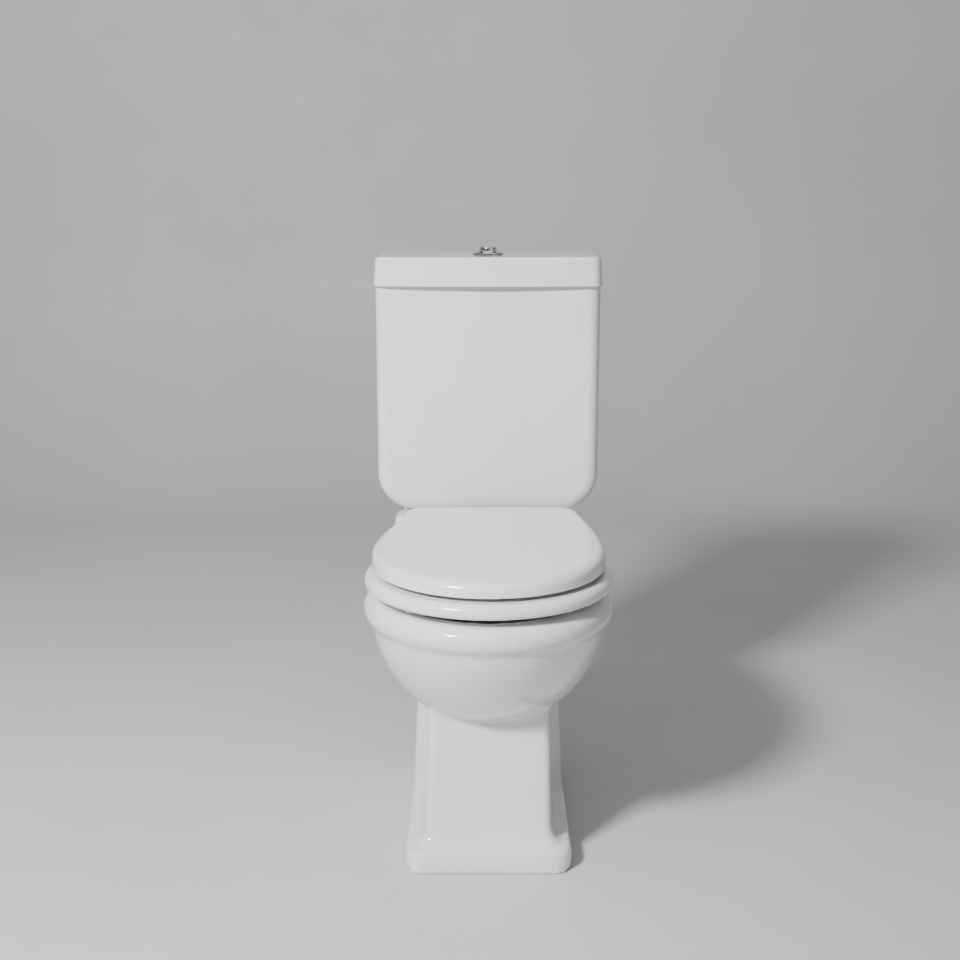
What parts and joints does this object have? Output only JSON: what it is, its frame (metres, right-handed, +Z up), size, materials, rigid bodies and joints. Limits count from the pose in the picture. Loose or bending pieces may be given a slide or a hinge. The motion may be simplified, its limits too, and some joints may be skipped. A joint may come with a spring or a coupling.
{
  "type": "close coupled toilet",
  "caption": "Floor-standing close coupled toilet: white china pan and cistern, push-button flush, hinged seat ring and lid.",
  "frame": {"origin": "on the floor, under the middle of the toilet", "axes": "+Z up, -Y towards the front of the pan, +Y towards the wall, X across"},
  "size_m": [0.369, 0.64, 0.892],
  "materials": {
    "china": "gloss white glaze",
    "seat": "gloss white",
    "chrome": "polished",
    "steel": "brushed stainless",
    "brass": "plain",
    "rubber": "matte black",
    "foam": "closed-cell foam",
    "white_rubber": "matte white",
    "white_plastic": "natural white",
    "grey_plastic": "grey",
    "blue_plastic": "blue"
  },
  "bodies": {
    "pan_body": {"pan": "china", "cistern_tank": "china", "left_hinge_post": "chrome", "right_hinge_post": "chrome", "hinge_rod": "steel", "hinge_rod_caps": "chrome", "hinge_studs": "steel", "hinge_washers": "rubber", "hinge_wing_nuts": "white_plastic", "doughnut_washer": "foam", "coupling_bolts": "brass", "coupling_sealing_washers": "rubber", "coupling_spacers": "rubber", "coupling_steel_washers": "steel", "coupling_wing_nuts": "brass", "flush_valve_body": "white_plastic", "flush_valve_washer": "rubber", "flush_valve_back_nut": "white_plastic", "flush_valve_basket": "white_plastic", "rocker_pin": "steel", "fill_valve_riser": "white_plastic", "inlet_washer": "rubber", "inlet_back_nut": "white_plastic", "fill_valve_head": "white_plastic", "fill_valve_cap": "grey_plastic", "fill_lever_pin": "steel", "refill_tube": "grey_plastic"},
    "lid_of_cistern": {"cistern_lid": "china", "button_bezel": "chrome", "bezel_gasket": "rubber", "bezel_clamp_nut": "white_plastic"},
    "full_button": {"full_flush_button": "chrome", "full_push_rod": "blue_plastic", "full_button_spring": "steel"},
    "half_button": {"half_flush_button": "chrome", "half_push_rod": "blue_plastic", "half_button_spring": "steel"},
    "ring": {"seat_ring": "seat", "ring_buffers": "white_rubber"},
    "lid": {"seat_lid": "seat", "lid_buffers": "white_rubber"},
    "rocker": {"flush_rocker": "blue_plastic"},
    "lifting_tube": {"overflow_tube": "grey_plastic", "valve_seal": "rubber"},
    "plunger": {"half_flush_plunger": "blue_plastic"},
    "fill_lever": {"fill_valve_lever": "grey_plastic"},
    "float": {"float_cup": "grey_plastic", "float_link": "steel", "link_adjusters": "blue_plastic"}
  },
  "joints": [
    {"name": "ring_hinge", "type": "hinge", "parent": "pan_body", "child": "ring", "pos_m": [0, 0.075, 0.443], "axis": [1, 0, 0], "range_deg": [-94, 0]},
    {"name": "lid_hinge", "type": "hinge", "parent": "ring", "child": "lid", "pos_m": [0, 0.075, 0.443], "axis": [-1, 0, 0], "range_deg": [0, 94]},
    {"name": "cistern_lid_lift", "type": "slide", "parent": "pan_body", "child": "lid_of_cistern", "axis": [0, 0, 1], "range_m": [0, 0.22]},
    {"name": "full_button_press", "type": "slide", "parent": "lid_of_cistern", "child": "full_button", "axis": [0, 0, -1], "range_m": [0, 0.006], "stiffness_N_per_m": 900, "springref_m": -0.004, "deforming": ["full_button_spring"]},
    {"name": "half_button_press", "type": "slide", "parent": "lid_of_cistern", "child": "half_button", "axis": [0, 0, -1], "range_m": [0, 0.006], "stiffness_N_per_m": 900, "springref_m": -0.004, "deforming": ["half_button_spring"]},
    {"name": "rocker_swing", "type": "hinge", "parent": "pan_body", "child": "rocker", "pos_m": [0.013, 0.22, 0.718], "axis": [0, -1, 0], "range_deg": [0, 17.46]},
    {"name": "valve_lift", "type": "slide", "parent": "pan_body", "child": "lifting_tube", "axis": [0, 0, 1], "range_m": [0, 0.012]},
    {"name": "plunger_drop", "type": "slide", "parent": "pan_body", "child": "plunger", "axis": [0, 0, -1], "range_m": [0, 0.006]},
    {"name": "float_travel", "type": "slide", "parent": "pan_body", "child": "float", "axis": [0, 0, 1], "range_m": [0, 0.018]},
    {"name": "fill_lever_swing", "type": "hinge", "parent": "pan_body", "child": "fill_lever", "pos_m": [-0.138, 0.23, 0.749], "axis": [0, -1, 0], "range_deg": [0, 26.01]}
  ],
  "couplings": [
    {"joint": "rocker_swing", "follows": "full_button_press", "rad_per_m": 50.782},
    {"joint": "valve_lift", "follows": "full_button_press", "ratio": 2},
    {"joint": "plunger_drop", "follows": "half_button_press", "ratio": 1},
    {"joint": "fill_lever_swing", "follows": "float_travel", "rad_per_m": 25.216}
  ]
}
